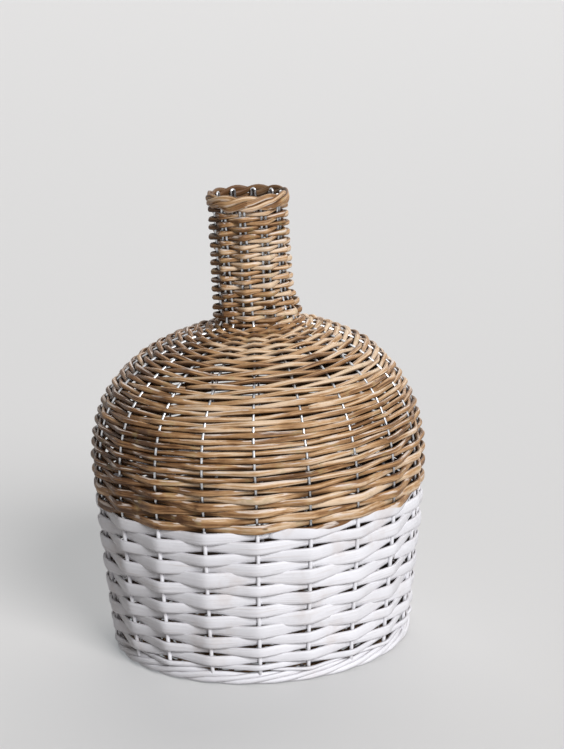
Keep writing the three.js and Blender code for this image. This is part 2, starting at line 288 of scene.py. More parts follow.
def pairHalfAngle(length):
    beyondShoulder = np.clip((length - shoulderRoot) / (neckRoot - shoulderRoot), 0, 1)
    beyondNeckRoot = np.clip((length - neckRoot) / (wallEnd - neckRoot), 0, 1)
    gathered = basket["gatheredAtNeckRoot"] * beyondShoulder
    gathered = gathered + (1 - gathered) * beyondNeckRoot
    closed = math.degrees(math.asin(neckPairHalf / neckWireRadius))
    return stakeAngle / 2 + (closed - stakeAngle / 2) * gathered


def legAngle(count, length):
    count = np.asarray(count, float)
    pair = np.floor(count / 2)
    side = np.sign(count - 2 * pair - 0.5)
    return basket["firstPairAngle"] + 2 * stakeAngle * pair + side * pairHalfAngle(length)


noiseLength = 2048
noiseShift = 700


# Smooth seeded noise from -1 to 1 along a line.
def noise(x, seed):
    table = np.random.default_rng(seed).uniform(-1, 1, noiseLength)
    x = np.asarray(x, float) + noiseShift
    i = np.floor(x).astype(int)
    t = x - i
    t = t * t * (3 - 2 * t)
    return table[i % noiseLength] * (1 - t) + table[(i + 1) % noiseLength] * t


def circle(sides):
    turn = 2 * np.pi * np.arange(sides) / sides
    return np.cos(turn), np.sin(turn)


# A mesh from rings of points. Its UV map holds the length along, in metres, and the share of the way
# round.
def ringMesh(name, rings, tone=0.5, closed=False):
    count, sides = rings.shape[:2]
    vertices = (rings.reshape(-1, 3) * millimetre).tolist()
    centres = rings.mean(axis=1)
    steps = np.linalg.norm(np.diff(np.vstack((centres, centres[:1])), axis=0), axis=1) * millimetre
    along = np.concatenate(((0,), np.cumsum(steps)))
    spans = count if closed else count - 1
    faces = []
    uvs = []
    for i in range(spans):
        j = (i + 1) % count
        for k in range(sides):
            n = (k + 1) % sides
            faces.append((i * sides + k, i * sides + n, j * sides + n, j * sides + k))
            low, high = k / sides, (k + 1) / sides
            uvs += [(along[i], low), (along[i], high), (along[i + 1], high), (along[i + 1], low)]
    if not closed:
        faces.append(tuple(reversed(range(sides))))
        faces.append(tuple((count - 1) * sides + k for k in range(sides)))
        uvs += [(along[0], 0.5)] * sides + [(along[count - 1], 0.5)] * sides
    mesh = bpy.data.meshes.new(name)
    mesh.from_pydata(vertices, [], faces)
    layer = mesh.uv_layers.new(name="alongAndRound")
    layer.data.foreach_set("uv", np.array(uvs, np.float32).ravel())
    tone = np.repeat(np.broadcast_to(tone, (count,)), sides)
    attribute = mesh.attributes.new("rodTone", "FLOAT", "POINT")
    attribute.data.foreach_set("value", tone.astype(np.float32))
    mesh.polygons.foreach_set("use_smooth", np.ones(len(mesh.polygons), bool))
    mesh.update()
    return addObject(name, mesh)


def finishPiece(piece, material, node=None):
    piece.data.materials.append(material)
    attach(piece, "root")
    if node:
        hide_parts(node)


def put(tree, kind, sockets=None, **settings):
    made = tree.nodes.new(kind)
    for key, value in settings.items():
        setattr(made, key, value)
    for key, value in (sockets or {}).items():
        if isinstance(value, bpy.types.NodeSocket):
            tree.links.new(value, made.inputs[key])
        else:
            made.inputs[key].default_value = value
    return made


def calc(tree, operation, *values):
    return put(tree, "ShaderNodeMath", dict(enumerate(values)), operation=operation).outputs[0]


# A value times a factor, moved up by a start.
def scaled(tree, value, factor, start):
    return calc(tree, "ADD", calc(tree, "MULTIPLY", value, factor), start)


# How far a value is from one half, times a strength.
def swing(tree, value, strength):
    return calc(tree, "MULTIPLY", calc(tree, "SUBTRACT", value, 0.5), strength)


# From nothing at the first value to the most at the second, smoothly.
def mapRange(tree, value, low, high, most=1.0):
    sockets = {0: value, 1: low, 2: high, 3: 0.0, 4: most}
    return put(tree, "ShaderNodeMapRange", sockets, interpolation_type="SMOOTHSTEP").outputs[0]


def opaque(colour):
    return (*colour, 1)


def mixColour(tree, share, first, second):
    sockets = {0: share, 6: first, 7: second}
    return put(tree, "ShaderNodeMix", sockets, data_type="RGBA").outputs[2]


def ramp(tree, value, stops):
    made = put(tree, "ShaderNodeValToRGB", {0: value})
    band = made.color_ramp
    while len(band.elements) < len(stops):
        band.elements.new(0.5)
    for element, (place, colour) in zip(band.elements, stops):
        element.position = place
        element.color = opaque(colour)
    return made.outputs[0]


def cloud(tree, place, scale, detail, roughness=0.5, shift=None):
    sockets = {"Vector": place, "Scale": scale, "Detail": detail, "Roughness": roughness}
    if shift is None:
        return put(tree, "ShaderNodeTexNoise", sockets).outputs[0]
    sockets["W"] = shift
    return put(tree, "ShaderNodeTexNoise", sockets, noise_dimensions="4D").outputs[0]


def bumped(tree, height, strength, depth):
    sockets = {"Strength": strength, "Distance": depth, "Height": height}
    return put(tree, "ShaderNodeBump", sockets).outputs[0]


def objectPlace(tree):
    return put(tree, "ShaderNodeTexCoord").outputs["Object"]


# The length along a rod in metres, and the share of the way round it.
def rodPlace(tree):
    uv = put(tree, "ShaderNodeUVMap", uv_map="alongAndRound").outputs[0]
    apart = put(tree, "ShaderNodeSeparateXYZ", {0: uv})
    return apart.outputs[0], apart.outputs[1]


# A group with values going in, by their defaults, and values or a colour coming out.
def newGroup(name, inputs, outputs, kind="NodeSocketFloat"):
    group = bpy.data.node_groups.new(name, "ShaderNodeTree")
    for label, value in inputs.items():
        socket = group.interface.new_socket(label, in_out="INPUT", socket_type="NodeSocketFloat")
        socket.default_value = value
    for label in outputs:
        group.interface.new_socket(label, in_out="OUTPUT", socket_type=kind)
    return group, group.nodes.new("NodeGroupInput"), group.nodes.new("NodeGroupOutput")


def useGroup(tree, group, sockets=None):
    return put(tree, "ShaderNodeGroup", sockets, node_tree=group).outputs


# How the fibre of the wood is drawn. Mottle is a scale, a detail and a roughness.
fibreLook = {
    "streakDetail": 5.0,
    "streakRoughness": 0.62,
    "streakShift": 3.0,
    "mottle": (95.0, 3.0, 0.55),
    "creviceStray": 0.5,
    "crevice": (0.92, 0.4),
}


# Fine streaks along a rod, slower mottling, the rod's own tone and the sides turned from outside, where
# the materials paint shade between rods.
def fibreGroup():
    inputs = {"Streaks a metre": 26.0, "Streaks round": 9.0}
    outputs = ("Streaks", "Mottle", "Tone", "Crevice")
    group, source, target = newGroup("willow fibre", inputs, outputs)
    along, about = rodPlace(group)
    turn = calc(group, "MULTIPLY", about, 2 * math.pi)
    cosine = calc(group, "COSINE", turn)
    reach = calc(group, "DIVIDE", source.outputs["Streaks round"], 2 * math.pi)
    x = calc(group, "MULTIPLY", along, source.outputs["Streaks a metre"])
    y = calc(group, "MULTIPLY", cosine, reach)
    z = calc(group, "MULTIPLY", calc(group, "SINE", turn), reach)
    place = put(group, "ShaderNodeCombineXYZ", {0: x, 1: y, 2: z}).outputs[0]
    tone = put(group, "ShaderNodeAttribute", attribute_name="rodTone").outputs["Fac"]
    shift = calc(group, "MULTIPLY", tone, fibreLook["streakShift"])
    streaks = cloud(group, place, 1.0, fibreLook["streakDetail"], fibreLook["streakRoughness"], shift)
    mottle = cloud(group, objectPlace(group), *fibreLook["mottle"])
    # The sides turned from outside make the mask for painted shade, with some dirt, between rods.
    outward = calc(group, "ADD", cosine, calc(group, "MULTIPLY", mottle, fibreLook["creviceStray"]))
    crevice = mapRange(group, outward, *fibreLook["crevice"])
    for value, socket in zip((streaks, mottle, tone, crevice), target.inputs):
        group.links.new(value, socket)
    return group


paintEdge = {"wander": (26.0, 2.0), "reach": 4.0, "blur": 0.0003}


# The white paint reaches up to a ragged line.
def paintGroup():
    group, source, target = newGroup("paint line", {"Line": 0.118, "Raggedness": 0.004}, ("Mask",))
    place = objectPlace(group)
    height = put(group, "ShaderNodeSeparateXYZ", {0: place}).outputs[2]
    wander = swing(group, cloud(group, place, *paintEdge["wander"]), source.outputs["Raggedness"])
    line = scaled(group, wander, paintEdge["reach"], source.outputs["Line"])
    below = calc(group, "SUBTRACT", line, height)
    mask = mapRange(group, below, -paintEdge["blur"], paintEdge["blur"])
    group.links.new(mask, target.inputs["Mask"])
    return group


# White paint in slightly uneven shades, thin where the fibre stands out and stained in a few places.
whitePaint = {
    "patches": (31.0, 4.0, 0.6),
    "shades": [(0.3, (0.74, 0.73, 0.75)), (0.5, (0.8, 0.8, 0.835)), (0.7, (0.84, 0.84, 0.875))],
    "thin": (0.62, 0.57, 0.55),
    "thinWhere": (0.53, 0.7),
    "thinShare": 0.5,
    "stain": (0.64, 0.575, 0.555),
    "stainWhere": (0.43, 0.31),
    "stainShare": 0.3,
}


def brushedPaintGroup():
    group, source, target = newGroup("brushed paint", {"Fibre": 0.5}, ("Colour",), "NodeSocketColor")
    patches = cloud(group, objectPlace(group), *whitePaint["patches"])
    colour = ramp(group, patches, whitePaint["shades"])
    thin = mapRange(group, source.outputs["Fibre"], *whitePaint["thinWhere"], whitePaint["thinShare"])
    colour = mixColour(group, thin, colour, opaque(whitePaint["thin"]))
    stain = mapRange(group, patches, *whitePaint["stainWhere"], whitePaint["stainShare"])
    colour = mixColour(group, stain, colour, opaque(whitePaint["stain"]))
    group.links.new(colour, target.inputs["Colour"])
    return group


fibre = fibreGroup()
paintLine = paintGroup()
brushedPaint = brushedPaintGroup()


def newMaterial(name, colour):
    material = bpy.data.materials.new(name)
    material.use_nodes = True
    material.diffuse_color = opaque(colour)
    material.node_tree.nodes.clear()
    return material, material.node_tree


def endMaterial(tree, sockets):
    shader = put(tree, "ShaderNodeBsdfPrincipled", sockets)
    put(tree, "ShaderNodeOutputMaterial", {0: shader.outputs[0]})


# The colours of the bark, and how far tone, streaks and mottling move along them from the middle.
# Streaks are counted a metre and round the rod. Roughness is what the streaks add, and its start.
willow = {
    "dark": (0.085, 0.037, 0.014),
    "brown": (0.285, 0.15, 0.066),
    "honey": (0.49, 0.295, 0.145),
    "tan": (0.715, 0.545, 0.38),
    "pale": (0.76, 0.67, 0.60),
    "green": (0.30, 0.25, 0.11),
    "bark": [(0.12, "dark"), (0.38, "brown"), (0.58, "honey"), (0.8, "tan")],
    "middle": 0.56,
    "toneSwing": 0.8,
    "streakSwing": 2.1,
    "mottleSwing": 0.4,
    "streaks": (24.0, 8.0),
    "greenWhere": (0.56, 0.72),
    "greenShare": 0.4,
    # How much painted shade, with some dirt, darkens the sides between rods.
    "crevice": 0.77,
    "roughness": (0.25, 0.34),
    "paintRoughness": 0.12,
    "relief": (0.5, 0.0004),
    "sheen": 0.2,
}
# Pale split faces, kept to the upper edge where they are partly a painted highlight.
splitFaceAndHighlight = {
    "slivers": (38.0, 8.0),
    "detail": 3.0,
    "shift": 9.0,
    "middle": 0.13,
    "edge": (0.13, 0.05),
    "where": (0.52, 0.59),
    "share": 0.8,
}
knots = {"scale": 46.0, "size": (0.17, 0.06), "where": (0.47, 0.43), "share": 0.75, "depth": 0.4}


# Where a rod's pale split face shows, in slivers along its upper outer edge, partly a painted highlight
# there, and where it has a knot.
def facesAndKnots(tree, tone):
    along, about = rodPlace(tree)
    x = calc(tree, "MULTIPLY", along, splitFaceAndHighlight["slivers"][0])
    y = calc(tree, "MULTIPLY", about, splitFaceAndHighlight["slivers"][1])
    place = put(tree, "ShaderNodeCombineXYZ", {0: x, 1: y}).outputs[0]
    shift = calc(tree, "MULTIPLY", tone, splitFaceAndHighlight["shift"])
    patch = cloud(tree, place, 1.0, splitFaceAndHighlight["detail"], shift=shift)
    side = calc(tree, "ABSOLUTE", calc(tree, "SUBTRACT", about, splitFaceAndHighlight["middle"]))
    edge = mapRange(tree, side, *splitFaceAndHighlight["edge"], splitFaceAndHighlight["share"])
    pale = calc(tree, "MULTIPLY", edge, mapRange(tree, patch, *splitFaceAndHighlight["where"]))
    sockets = {"Vector": objectPlace(tree), "Scale": knots["scale"]}
    spots = put(tree, "ShaderNodeTexVoronoi", sockets).outputs["Distance"]
    rare = mapRange(tree, patch, *knots["where"], knots["share"])
    return pale, calc(tree, "MULTIPLY", mapRange(tree, spots, *knots["size"]), rare)


# Natural willow bark with pale split edges, partly a painted highlight on the upper edges, and painted
# shade with some dirt between rods. It is painted white below the colour line.
def brownWillow(name, paintTo):
    material, tree = newMaterial(name, willow["honey"])
    wood = useGroup(tree, fibre, dict(enumerate(willow["streaks"])))
    streaks, mottle, tone = wood["Streaks"], wood["Mottle"], wood["Tone"]
    shade = swing(tree, tone, willow["toneSwing"])
    shade = calc(tree, "ADD", shade, swing(tree, streaks, willow["streakSwing"]))
    shade = calc(tree, "ADD", shade, swing(tree, mottle, willow["mottleSwing"]))
    shade = calc(tree, "ADD", shade, willow["middle"])
    colour = ramp(tree, shade, [(place, willow[key]) for place, key in willow["bark"]])
    greener = mapRange(tree, mottle, *willow["greenWhere"], willow["greenShare"])
    colour = mixColour(tree, greener, colour, opaque(willow["green"]))
    pale, knot = facesAndKnots(tree, tone)
    # Pale split faces on the upper edge: partly a painted highlight where light falls on the rods.
    colour = mixColour(tree, pale, colour, opaque(willow["pale"]))
    colour = mixColour(tree, knot, colour, opaque(willow["dark"]))
    # Painted shade with some dirt: the sides between rods are drawn darker, less so on pale split faces.
    creviceShadeAndDirt = calc(tree, "MULTIPLY", wood["Crevice"], calc(tree, "SUBTRACT", willow["crevice"], pale))
    colour = mixColour(tree, creviceShadeAndDirt, colour, opaque(willow["dark"]))
    paint = useGroup(tree, paintLine, {"Line": paintTo})["Mask"]
    coat = useGroup(tree, brushedPaint, {"Fibre": streaks})["Colour"]
    colour = mixColour(tree, paint, colour, coat)
    rough = scaled(tree, streaks, *willow["roughness"])
    rough = calc(tree, "ADD", rough, calc(tree, "MULTIPLY", paint, willow["paintRoughness"]))
    relief = calc(tree, "SUBTRACT", streaks, calc(tree, "MULTIPLY", knot, knots["depth"]))
    normal = bumped(tree, relief, *willow["relief"])
    sockets = {"Base Color": colour, "Roughness": rough, "Normal": normal}
    endMaterial(tree, {**sockets, "Specular IOR Level": willow["sheen"]})
    return material


paintedSplit = {
    "plain": (0.85, 0.85, 0.86),
    "streaks": (20.0, 24.0),
    "bare": [(0.35, (0.04, 0.024, 0.015)), (0.65, (0.13, 0.075, 0.045))],
    "paintedSide": (0.2, 0.27),
    "sideStray": 0.1,
    # Grey for the painted shade, with some dirt, along the edges of the strips, and how much of it.
    "creviceShadeAndDirt": (0.31, 0.275, 0.285),
    "creviceShadeAndDirtShare": 0.42,
    "roughness": (0.2, 0.42),
    "relief": (0.85, 0.0006),
}


# Painted from outside only: the inner face of a split stays bare, and is drawn very dark as painted shade
# inside the slits.
def whiteWillow(name):
    material, tree = newMaterial(name, paintedSplit["plain"])
    wood = useGroup(tree, fibre, dict(enumerate(paintedSplit["streaks"])))
    streaks = wood["Streaks"]
    coat = useGroup(tree, brushedPaint, {"Fibre": streaks})["Colour"]
    side = calc(tree, "ABSOLUTE", calc(tree, "SUBTRACT", rodPlace(tree)[1], 0.5))
    side = calc(tree, "ADD", side, calc(tree, "MULTIPLY", wood["Mottle"], paintedSplit["sideStray"]))
    painted = mapRange(tree, side, *paintedSplit["paintedSide"])
    # The bare inner face is drawn much darker than bare willow: painted shade inside the slits.
    bare = ramp(tree, streaks, paintedSplit["bare"])
    # Painted shade with some dirt: grey lines where a strip turns away from outside.
    creviceShadeAndDirt = calc(tree, "MULTIPLY", wood["Crevice"], paintedSplit["creviceShadeAndDirtShare"])
    coated = mixColour(tree, creviceShadeAndDirt, coat, opaque(paintedSplit["creviceShadeAndDirt"]))
    colour = mixColour(tree, painted, bare, coated)
    rough = scaled(tree, streaks, *paintedSplit["roughness"])
    normal = bumped(tree, streaks, *paintedSplit["relief"])
    endMaterial(tree, {"Base Color": colour, "Roughness": rough, "Normal": normal})
    return material


# Roughness is what the paint adds, and its start on bare zinc.
zinc = {
    "plain": (0.72, 0.73, 0.75),
    "spangle": (420.0, 2.0),
    "shades": [(0.35, (0.34, 0.345, 0.355)), (0.65, (0.68, 0.69, 0.71))],
    "raggedness": 0.003,
    "roughness": (0.2, 0.32),
    "relief": (0.15, 0.0002),
}


def galvanisedWire(name, paintTo):
    material, tree = newMaterial(name, zinc["plain"])
    spangle = cloud(tree, objectPlace(tree), *zinc["spangle"])
    metal = ramp(tree, spangle, zinc["shades"])
    paint = useGroup(tree, paintLine, {"Line": paintTo, "Raggedness": zinc["raggedness"]})["Mask"]
    colour = mixColour(tree, paint, metal, useGroup(tree, brushedPaint)["Colour"])
    bare = calc(tree, "SUBTRACT", 1.0, paint)
    rough = scaled(tree, paint, *zinc["roughness"])
    normal = bumped(tree, spangle, *zinc["relief"])
    endMaterial(tree, {"Base Color": colour, "Metallic": bare, "Roughness": rough, "Normal": normal})
    return material


# The height, in metres, up to which each is painted. A height below the floor leaves it bare.
paintTop = {"rods": 0.1205, "wires": 0.1215, "bare": -1.0}
brown = brownWillow("brown willow", paintTop["rods"])
plainBrown = brownWillow("brown willow, bare", paintTop["bare"])
white = whiteWillow("white painted willow")
wireLook = galvanisedWire("galvanised wire", paintTop["wires"])
print("materials made")

# How hand work strays from the even model: first the values for a flat strip and for a round rod, then
# those for both. Lengths are in legs passed, and rows count from the colour line.
byKind = {
    "swell": (2.0, 1.1),
    "rounding": (0.14, 0.17),
    "fullness": (0.1, -0.06),
    "heightStray": (0.21, 0.19),
    "strayLength": (3.0, 1.6),
    "twist": (7, 26),
}
uneven = {
    "taper": 0.12,
    "thicknessStray": 0.8,
    "thicknessLength": 2.3,
    "twistLength": 2.1,
    "rowWave": 0.9,
    "waves": (2, 5),
    "waveHeights": (31, 17),
    "waveStarts": (12, 50),
    "waveEnds": (215, 245),
    "rowStray": 0.55,
    "rowLength": 1.1,
    "outwardStray": 0.4,
    "outwardLength": 1.3,
    "tighterBack": 0.14,
    "backStarts": (0, 0.5),
    "touch": 0.05,
    "domeStarts": (35, 75),
    "domeFullness": 0.06,
    "domeFlattening": 0.1,
    "domeTightness": 0.3,
    "firstRowsFuller": 0.13,
    "firstRowsStart": (-1, 1),
    "firstRowsEnd": (4, 9),
}
neckWork = {
    "outside": 0.7,
    "tightness": 0.42,
    "look": {"sides": 10, "rounding": 0.22, "lighter": 0.06},
}
section = {"sides": 12, "endSize": 0.7, "endLength": 0.6, "stripPower": 0.8}


def stripToRod(values, roundness):
    strip, rod = values
    return strip + (rod - strip) * roundness


# The controls of a rod where it passes each leg: centre, outward and upward directions, height,
# thickness, roundness and row.
def crossing(angle, row, offset, share, thickness, roundness):
    length = rowPlace(row)
    r, z, outR, outZ = onWall(length)
    centre = around(r + outR * offset, angle, z + outZ * offset)
    a = np.radians(angle)
    outward = np.stack((outR * np.sin(a), -outR * np.cos(a), outZ), axis=-1)
    upward = np.stack((-outZ * np.sin(a), outZ * np.cos(a), outR), axis=-1)
    height = share * rowPitch(row)
    rest = np.stack(np.broadcast_arrays(height, thickness, roundness, row), axis=-1)
    return np.concatenate((centre, outward, upward, rest), axis=-1)


def bodyCrossings(counts, lead, insideLeg):
    counts = np.asarray(counts, float)
    row = 2 * (counts - lead) / stakeCount
    outside = (np.abs(counts) % 2) != insideLeg
    aboveLine = row - whiteRows
    roundness = smoothstep(aboveLine, -1, weave["rowsFromStripToRod"])
    onDome = smoothstep(rowPlace(row) - colourLine, *uneven["domeStarts"])
    firstRows = smoothstep(aboveLine, *uneven["firstRowsStart"])
    firstRows = firstRows * (1 - smoothstep(aboveLine, *uneven["firstRowsEnd"]))
    thickness = stripToRod((basket["stripThickness"], basket["rodThickness"]), roundness)
    thickness = thickness * stripToRod(byKind["swell"], roundness)
    thickness = thickness * (1 - uneven["domeFlattening"] * onDome)
    stand = wireRadius + uneven["touch"] + thickness / 2
    offset = stand * (1 - uneven["domeTightness"] * onDome)
    shares = [stripToRod(weave[key], roundness) for key in ("outsideShares", "insideShares")]
    fuller = 1 + uneven["domeFullness"] * onDome + uneven["firstRowsFuller"] * firstRows
    share = np.where(outside, *shares) * fuller
    angle = legAngle(counts, rowPlace(row))
    return crossing(angle, row, np.where(outside, offset, -offset), share, thickness, roundness)


def neckCrossings(counts, lead, firstPair):
    row = 2 * (counts - lead) / stakeCount
    length = rowPlace(row)
    halfAngle = np.radians(pairHalfAngle(length))
    radius = onWall(length)[0]
    half = radius * np.sin(halfAngle)
    sag = radius * (1 - np.cos(halfAngle))
    stand = wireRadius + basket["seat"]
    thickness = basket["neckRodThickness"]
    insideStand = stand + sag + basket["insidePairBend"] * half
    tip = radius - insideStand - thickness
    pairAngle = math.radians(2 * stakeAngle)
    bend = (radius + stand - tip * math.cos(pairAngle)) / (tip * math.sin(pairAngle) - half)
    bend = np.minimum(bend, neckWork["outside"])
    outside = np.round((counts - firstPair) / 2) % 2 != 0
    inside = (insideStand + thickness / 2) * (1 - neckWork["tightness"])
    offset = np.where(outside, stand + bend * half + thickness / 2, -inside)
    angle = basket["firstPairAngle"] + 2 * stakeAngle * (counts - 0.5) / 2
    share = np.where(outside, *weave["neckShares"])
    return crossing(angle, row, offset, share, thickness, 1.0)


def alongControls(controls, at):
    at = np.clip(at, 0, len(controls) - 1)
    i = np.minimum(np.floor(at).astype(int), len(controls) - 2)
    t = (at - i)[:, None]
    return controls[i] * (1 - t) + controls[i + 1] * t


# Rounds the corners of a line through the controls, and still passes where they say.
def roundedControls(controls, at, reach):
    eased = controls.copy()
    reach = np.broadcast_to(reach, (len(controls),))[:, None]
    bent = controls[:-2] + controls[2:] - 2 * controls[1:-1]
    eased[1:-1, :3] -= reach[1:-1] / 4 * bent[:, :3]
    wide = np.interp(at, np.arange(len(controls)), reach[:, 0])
    total = 0
    for share, weight in ((-1, 1), (-0.5, 2), (0, 2), (0.5, 2), (1, 1)):
        total = total + weight / 8 * alongControls(eased, at + share * wide)
    return total


# Fuller or slimmer between legs, tapering towards its tip, uneven, and packed closer at the back.
def strayedSection(at, height, thickness, roundness, angle, seed):
    height = height * (1 + stripToRod(byKind["fullness"], roundness) * np.sin(np.pi * at) ** 2)
    stray = stripToRod(byKind["heightStray"], roundness)
    height = height * (1 + stray * noise(at / stripToRod(byKind["strayLength"], roundness), seed))
    taper = 1 + uneven["taper"] * (0.5 - at / at[-1])
    back = smoothstep(-np.cos(angle), *uneven["backStarts"])
    height = height * taper * (1 + uneven["tighterBack"] * roundness * back)
    stray = uneven["thicknessStray"] * stray
    thickness = thickness * taper * (1 + stray * noise(at / uneven["thicknessLength"], seed + 1))
    return height, thickness


# Waves that all rows share, and a rod's own wandering up, down and outward.
def strayedCourse(at, centre, outward, upward, angle, seed):
    z = centre[:, 2]
    few, many = uneven["waves"]
    slow, fast = uneven["waveHeights"]
    wave = np.sin(few * angle + z / slow) + np.sin(many * angle - z / fast + 1)
    wave = wave * smoothstep(z, *uneven["waveStarts"]) * (1 - smoothstep(z, *uneven["waveEnds"]))
    lift = 0.5 * uneven["rowWave"] * wave
    lift = lift + uneven["rowStray"] * noise(at / uneven["rowLength"], seed + 2)
    push = uneven["outwardStray"] * (0.5 + 0.5 * noise(at / uneven["outwardLength"], seed + 3))
    return centre + upward * lift[:, None] + outward * push[:, None]


# Rings across a rod: oval, or squarish on a strip, twisted, and a little smaller at its ends.
def sectionRings(at, centre, outward, upward, height, thickness, roundness, twist, sides):
    fromEnd = np.minimum(at - at[0], at[-1] - at)
    ease = np.minimum(1, section["endSize"] + fromEnd / section["endLength"])
    power = stripToRod((section["stripPower"], 1), np.minimum(1, 2 * roundness))[:, None]
    cosine, sine = circle(sides)
    out = np.sign(cosine) * np.abs(cosine) ** power * (ease * thickness / 2)[:, None]
    up = np.sign(sine) * np.abs(sine) ** power * (ease * height / 2)[:, None]
    cosTwist, sinTwist = np.cos(twist)[:, None], np.sin(twist)[:, None]
    turnedOut = out * cosTwist - up * sinTwist
    turnedUp = out * sinTwist + up * cosTwist
    rings = centre[:, None, :] + outward[:, None, :] * turnedOut[..., None]
    return rings + upward[:, None, :] * turnedUp[..., None]


# How light each rod is: its own tone, painted shade on the left, lighter in the first brown rows, and
# uneven.
tones = {
    "own": (0.28, 0.68),
    "paintedShadeLeft": 0.38,
    "leftStarts": (0.25, 0.85),
    "firstRowsLighter": 0.06,
    "firstRowsEnd": (2, 9),
    "stray": (0.2, 0.1),
    "strayLength": (2.7, 0.8),
}


def rodTone(at, angle, row, seed, lighter):
    tone = np.random.default_rng(seed).uniform(*tones["own"]) + lighter
    # Painted shade: rods towards the left side are drawn darker, standing in for the shade there.
    tone = tone - tones["paintedShadeLeft"] * smoothstep(-np.sin(angle), *tones["leftStarts"])
    tone = tone + tones["firstRowsLighter"] * (1 - smoothstep(row - whiteRows, *tones["firstRowsEnd"]))
    for k, (stray, length) in enumerate(zip(tones["stray"], tones["strayLength"])):
        tone = tone + stray * noise(at / length, seed + 5 + k)
    return np.clip(tone, 0, 1)


spanSteps = np.array((0, 0.05, 0.11, 0.19, 0.3, 0.42, 0.58, 0.7, 0.81, 0.89, 0.95))


# Sweeps a rod through its controls. The seed sets how it strays. Its rings turn the other way from a
# wire's, so its faces are flipped.
def wovenRod(name, controls, seed, sides=section["sides"], rounding=None, lighter=0.0):
    stripRounding, rodRounding = byKind["rounding"]
    last = len(controls) - 2
    start, end = weave["tuckStart"], last + weave["tuckEnd"]
    at = (np.arange(last + 1)[:, None] + spanSteps).ravel()
    at = np.concatenate(((start,), at[(at > start) & (at < end)], (end,)))
    reach = stripToRod((stripRounding, rounding or rodRounding), controls[:, 11])
    path = roundedControls(controls, at, reach)
    centre, outward, upward = path[:, :3], path[:, 3:6], path[:, 6:9]
    height, thickness, roundness, row = path[:, 9:].T
    outward = outward / np.linalg.norm(outward, axis=1)[:, None]
    upward = upward / np.linalg.norm(upward, axis=1)[:, None]
    angle = np.arctan2(centre[:, 0], -centre[:, 1])
    height, thickness = strayedSection(at, height, thickness, roundness, angle, seed)
    centre = strayedCourse(at, centre, outward, upward, angle, seed)
    twist = stripToRod(byKind["twist"], roundness) * noise(at / uneven["twistLength"], seed + 4)
    twist = np.radians(twist)
    rings = sectionRings(at, centre, outward, upward, height, thickness, roundness, twist, sides)
    piece = ringMesh(name, rings, rodTone(at, angle, row, seed, lighter))
    piece.data.flip_normals()
    return piece


def piecing(start, end, rods, every):
    return [start + every * round((end - start) * i / rods / every) for i in range(rods + 1)]


def countNear(lead, row, every, rest):
    return every * math.floor((lead + row * stakeCount / 2 - rest) / every + 0.5) + rest


seedSteps = {"rod": 20, "band": 400}


# Two weavers chase each other up the basket. Their rods are pieced where they pass inside a leg, on
# the body at every second leg and in the neck at every second pair.
def makeWeaver(name, lead, insideLeg, lastLeg, seed):
    start = countNear(lead, 0, 2, insideLeg)
    colourChange = countNear(lead, whiteRows, 2, insideLeg)
    neckStart = countNear(lead, whiteRows + domeRows, 4, lastLeg)
    firstPair = 2 * math.floor(neckStart / 2) + 0.5
    top = countNear(lead, whiteRows + domeRows + neckRows, 2, insideLeg)
    lastPair = firstPair + 4 * math.floor((top - firstPair) / 4)

    def bodyControls(low, high):
        return bodyCrossings(range(low, high + 2), lead, insideLeg)

    def neckControls(low, high):
        controls = neckCrossings(np.arange(low, high + 2.5, 2), lead, firstPair)
        if low == firstPair and insideLeg:
            controls[0] = bodyCrossings([neckStart], lead, insideLeg)[0]
        return controls

    strips, rods, neckRods = weave["rodsPerWeaver"]
    joints = (
        piecing(start, colourChange, strips, 2),
        piecing(colourChange, neckStart, rods, 2),
        piecing(firstPair, lastPair, neckRods, 4),
    )
    bands = (
        ("white_strip", bodyControls, {}, white, "painted_willow"),
        ("dome_rod", bodyControls, {}, brown, "brown_willow"),
        ("neck_rod", neckControls, neckWork["look"], plainBrown, "brown_willow"),
    )
    for k, (band, controlsOf, look, material, slot) in enumerate(bands):
        for i, (low, high) in enumerate(zip(joints[k], joints[k][1:])):
            node = f"{band}_{name}{i + 1}"
            own = seed + seedSteps["rod"] * i + seedSteps["band"] * k
            piece = wovenRod(node + "_woven", controlsOf(low, high), own, **look)
            finishPiece(piece, material, node)


makeWeaver("a", lead=0, insideLeg=1, lastLeg=3, seed=11)
makeWeaver("b", lead=stakeCount // 2, insideLeg=0, lastLeg=0, seed=5003)
print("rods woven")

# On the wires' bare metal, in millimetres: thick paint low down, zinc above.
wireCoat = {"paint": 0.54, "zinc": 0.12, "change": 4}
# Where a wire turns in over the foot border, the steps in its neck and in its bend, and its sides.
wireCourse = {"turnInside": 0.34, "turnBelow": 1.6, "steps": 8, "sides": 10}


# A round tube along a path, with rings that don't twist.
def tubeRings(path, radii):
    along = np.gradient(path, axis=0)
    along /= np.linalg.norm(along, axis=1)[:, None]
    aside = (0, 1, 0.3)
    normal = np.cross(along[0], aside)
    cosine, sine = circle(wireCourse["sides"])
    rings = []
    for point, direction, radius in zip(path, along, radii):
        normal = normal - direction * normal.dot(direction)
        normal /= np.linalg.norm(normal)
        beside = np.cross(direction, normal)
        rings.append(point + radius * (cosine[:, None] * normal + sine[:, None] * beside))
    return np.array(rings)


